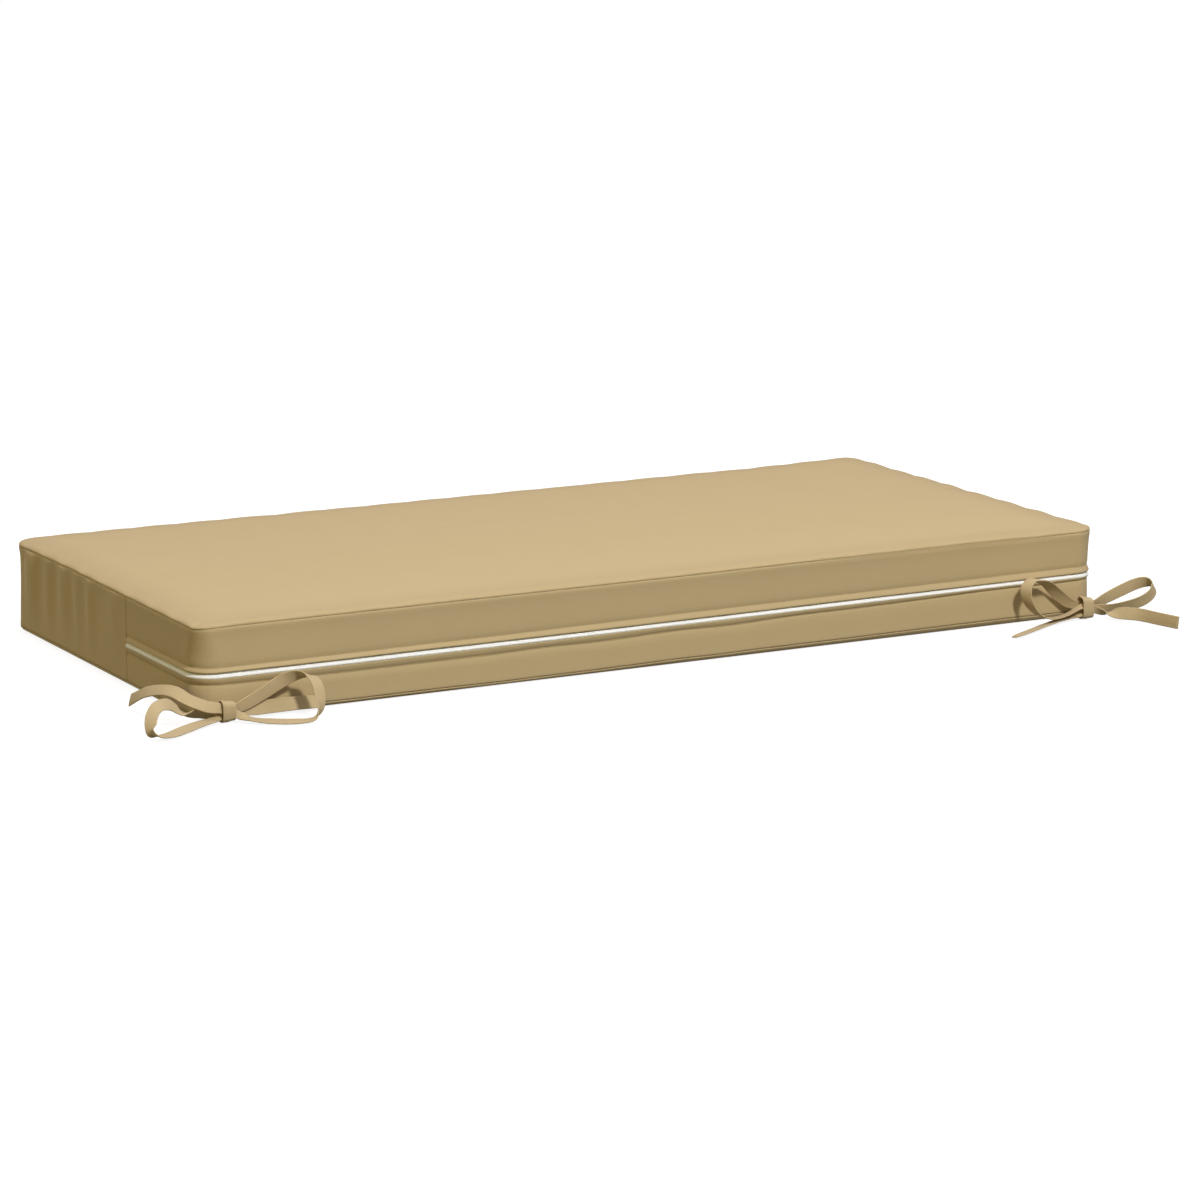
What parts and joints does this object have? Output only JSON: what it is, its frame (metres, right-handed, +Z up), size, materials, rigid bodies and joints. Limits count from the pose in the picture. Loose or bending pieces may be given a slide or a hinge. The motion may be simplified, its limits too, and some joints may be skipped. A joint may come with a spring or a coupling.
{
  "type": "bench cushion",
  "caption": "Long flat box-edge bench cushion in plain woven cloth, with a zipped side gusset and flat tie straps in a bow at each front corner.",
  "frame": {"origin": "centre of the cushion's flat underside, on the surface that it lies on, with the ties left out", "axes": "+X along the cushion's length to the viewer's right when facing the zipped front, +Y from the zipped front to the back, +Z up through the cushion's thickness"},
  "size_m": [1.124, 0.5787, 0.095],
  "materials": {
    "cover_cloth": "matt woven polyester cloth, sand beige",
    "tie_strap": "matt flat strap, sand beige",
    "zip_tape": "white closed coil zip"
  },
  "bodies": {
    "root": {"cushion_body": "cover_cloth", "boxing_band": "cover_cloth", "zip_strip_upper": "cover_cloth", "zip_strip_lower": "cover_cloth", "zip_tape": "zip_tape", "tie_left_a": "tie_strap", "tie_left_b": "tie_strap", "tie_left_knot": "tie_strap", "tie_right_a": "tie_strap", "tie_right_b": "tie_strap", "tie_right_knot": "tie_strap"}
  },
  "joints": []
}
